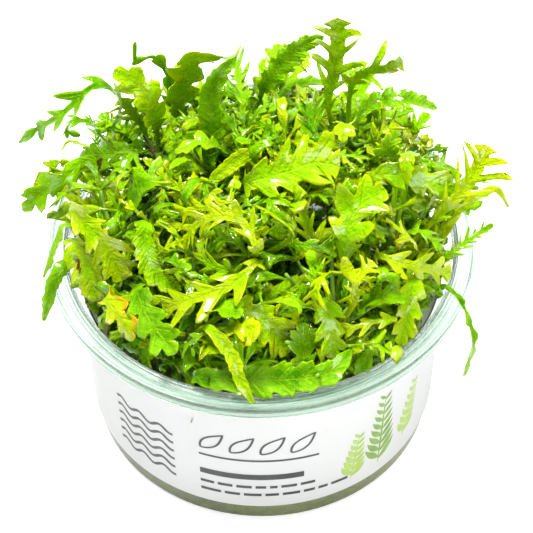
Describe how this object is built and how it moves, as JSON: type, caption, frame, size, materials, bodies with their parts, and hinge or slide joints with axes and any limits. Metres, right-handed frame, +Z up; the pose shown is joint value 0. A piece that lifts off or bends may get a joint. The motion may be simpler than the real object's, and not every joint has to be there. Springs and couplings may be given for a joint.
{
  "type": "tissue culture hygrophila odora",
  "caption": "Clear round cup with a flanged rim, a plain printed label band and olive culture gel, filled with a mound of bright green lobed water plant leaves.",
  "frame": {"origin": "centre of the cup's underside, on the table", "axes": "+Z up out of the cup's mouth, -Y towards the viewer of the picture, +X to the viewer's right"},
  "size_m": [0.1133, 0.1029, 0.099],
  "materials": {
    "clear_plastic": "clear and glossy",
    "label_film": "satin printed film",
    "olive_gel": "moist gel",
    "green_stem": "moist plant stem",
    "leaf_green": "moist glossy leaf"
  },
  "bodies": {
    "root": {"cup": "clear_plastic", "label": "label_film", "culture_gel": "olive_gel", "plantlet_back_left": "green_stem", "plantlet_back_middle": "green_stem", "plantlet_back_right": "green_stem", "plantlet_left": "green_stem", "plantlet_middle": "green_stem", "plantlet_right": "green_stem", "plantlet_front_left": "green_stem", "plantlet_front_right": "green_stem", "plantlet_back": "green_stem", "leaf_left_arch": "leaf_green", "leaf_left_curl": "leaf_green", "leaf_back_left_lobed": "leaf_green", "leaf_back_left_broad": "leaf_green", "leaf_back_tendril": "leaf_green", "leaf_back_tall_broad": "leaf_green", "leaf_tall_strap": "leaf_green", "leaf_spoon": "leaf_green", "leaf_left_scalloped": "leaf_green", "leaf_left_lower": "leaf_green", "leaf_left_broad": "leaf_green", "leaf_left_blotched": "leaf_green", "leaf_left_hanging_short": "leaf_green", "leaf_left_hanging_long": "leaf_green", "leaf_long_pointed": "leaf_green", "leaf_front_dark": "leaf_green", "leaf_yellow_edge": "leaf_green", "leaf_front_left_thin": "leaf_green", "leaf_front_left_broad": "leaf_green", "leaf_spiky": "leaf_green", "leaf_rolled_left": "leaf_green", "leaf_strap_under": "leaf_green", "leaf_bright_arc": "leaf_green", "leaf_curly_wide": "leaf_green", "leaf_curly_inner": "leaf_green", "leaf_top_strap": "leaf_green", "leaf_fan": "leaf_green", "leaf_fan_side": "leaf_green", "leaf_right_arch": "leaf_green", "leaf_right_small": "leaf_green", "leaf_right_drooping": "leaf_green", "leaf_oak": "leaf_green", "leaf_right_horizontal": "leaf_green", "leaf_right_fingers": "leaf_green", "leaf_right_tail": "leaf_green", "leaf_right_lobed": "leaf_green", "leaf_right_wisp": "leaf_green", "leaf_yellow_upper": "leaf_green", "leaf_yellow_broad": "leaf_green", "leaf_right_trailing": "leaf_green", "leaf_star_left": "leaf_green", "leaf_star_right": "leaf_green", "leaf_yellow_star": "leaf_green", "leaf_front_mid": "leaf_green", "leaf_front_apex": "leaf_green", "leaf_front_glossy": "leaf_green", "leaf_right_front": "leaf_green", "leaf_front_fingers": "leaf_green"}
  },
  "joints": []
}
